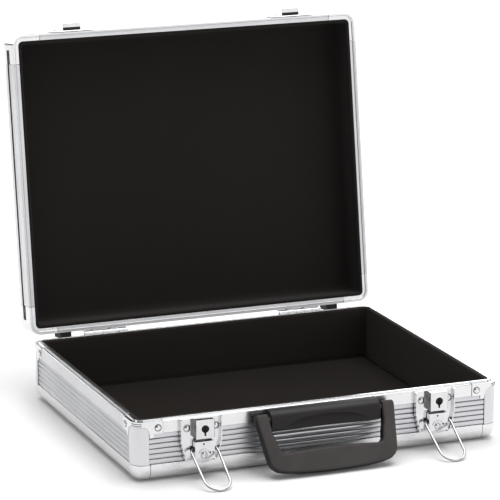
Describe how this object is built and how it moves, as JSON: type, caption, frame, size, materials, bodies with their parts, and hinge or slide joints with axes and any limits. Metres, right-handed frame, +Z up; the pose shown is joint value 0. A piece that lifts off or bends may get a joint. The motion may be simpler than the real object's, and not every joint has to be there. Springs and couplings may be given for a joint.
{
  "type": "poker chip case",
  "caption": "Aluminium case for poker chips with a hinged lid, black lining, swing handle and key-locked wire-loop latches.",
  "frame": {"origin": "centre of the base's flat underside, on the surface it stands on", "axes": "+X to the right along the width, +Y from the handle side towards the hinges, +Z up"},
  "size_m": [0.3434, 0.4017, 0.3373],
  "materials": {
    "satin_aluminium": "satin",
    "ribbed_aluminium": "satin",
    "bright_aluminium": "semi-gloss",
    "chrome": "polished",
    "steel": "satin",
    "dark_steel": "matte",
    "lining": "matte",
    "black_plastic": "satin",
    "rubber": "matte"
  },
  "bodies": {
    "base": {"bottom_panel": "satin_aluminium", "base_edge_front": "satin_aluminium", "base_edge_back": "satin_aluminium", "base_edge_left": "satin_aluminium", "base_edge_right": "satin_aluminium", "base_post_front_left": "satin_aluminium", "base_post_front_right": "satin_aluminium", "base_post_back_left": "satin_aluminium", "base_post_back_right": "satin_aluminium", "base_panel_front": "ribbed_aluminium", "base_panel_back": "ribbed_aluminium", "base_panel_left": "ribbed_aluminium", "base_panel_right": "ribbed_aluminium", "base_rim_front": "bright_aluminium", "base_rim_back": "bright_aluminium", "base_rim_left": "bright_aluminium", "base_rim_right": "bright_aluminium", "base_cap_front_left": "bright_aluminium", "base_cap_front_right": "bright_aluminium", "base_cap_back_left": "bright_aluminium", "base_cap_back_right": "bright_aluminium", "base_bracket_front_left": "bright_aluminium", "base_bracket_front_right": "bright_aluminium", "base_bracket_back_left": "bright_aluminium", "base_bracket_back_right": "bright_aluminium", "hinge_base_leaf_left": "chrome", "hinge_base_leaf_right": "chrome", "latch_plate_left": "chrome", "latch_plate_right": "chrome", "hinge_pin_left": "steel", "hinge_pin_right": "steel", "wall_lining": "lining", "floor_mat": "lining", "handle_hub": "black_plastic", "base_foot_left": "rubber", "base_foot_right": "rubber"},
    "lid": {"lid_side_front": "satin_aluminium", "lid_side_back": "satin_aluminium", "lid_side_left": "satin_aluminium", "lid_side_right": "satin_aluminium", "lid_corner_front_left": "bright_aluminium", "lid_corner_front_right": "bright_aluminium", "lid_corner_back_left": "bright_aluminium", "lid_corner_back_right": "bright_aluminium", "lid_panel": "satin_aluminium", "lid_lining": "lining", "strike_left": "chrome", "strike_right": "chrome", "hinge_lid_leaf_left": "chrome", "hinge_lid_leaf_right": "chrome", "lid_foot_left": "rubber", "lid_foot_right": "rubber"},
    "handle": {"handle_grip": "black_plastic"},
    "lever_left": {"latch_lever_left": "chrome"},
    "bail_left": {"latch_bail_left": "chrome"},
    "lock_left": {"lock_barrel_left": "dark_steel"},
    "lever_right": {"latch_lever_right": "chrome"},
    "bail_right": {"latch_bail_right": "chrome"},
    "lock_right": {"lock_barrel_right": "dark_steel"}
  },
  "joints": [
    {"name": "lid_hinge", "type": "hinge", "parent": "base", "child": "lid", "pos_m": [0, 0.1415, 0.05345], "axis": [1, 0, 0], "range_deg": [0, 98.6]},
    {"name": "handle_swing", "type": "hinge", "parent": "base", "child": "handle", "pos_m": [0, -0.147, 0.0455], "axis": [-1, 0, 0], "range_deg": [0, 150]},
    {"name": "lever_left_lift", "type": "hinge", "parent": "base", "child": "lever_left", "pos_m": [-0.109, -0.1418, 0.0313], "axis": [1, 0, 0], "range_deg": [-90, 0]},
    {"name": "bail_left_swing", "type": "hinge", "parent": "lever_left", "child": "bail_left", "pos_m": [-0.109, -0.1426, 0.0253], "axis": [-1, 0, 0], "range_deg": [0, 120.6]},
    {"name": "lock_left_turn", "type": "hinge", "parent": "base", "child": "lock_left", "pos_m": [-0.109, -0.1435, 0.044], "axis": [0, -1, 0], "range_deg": [0, 90]},
    {"name": "lever_right_lift", "type": "hinge", "parent": "base", "child": "lever_right", "pos_m": [0.109, -0.1418, 0.0313], "axis": [1, 0, 0], "range_deg": [-90, 0]},
    {"name": "bail_right_swing", "type": "hinge", "parent": "lever_right", "child": "bail_right", "pos_m": [0.109, -0.1426, 0.0253], "axis": [-1, 0, 0], "range_deg": [0, 120.6]},
    {"name": "lock_right_turn", "type": "hinge", "parent": "base", "child": "lock_right", "pos_m": [0.109, -0.1435, 0.044], "axis": [0, -1, 0], "range_deg": [0, 90]}
  ]
}
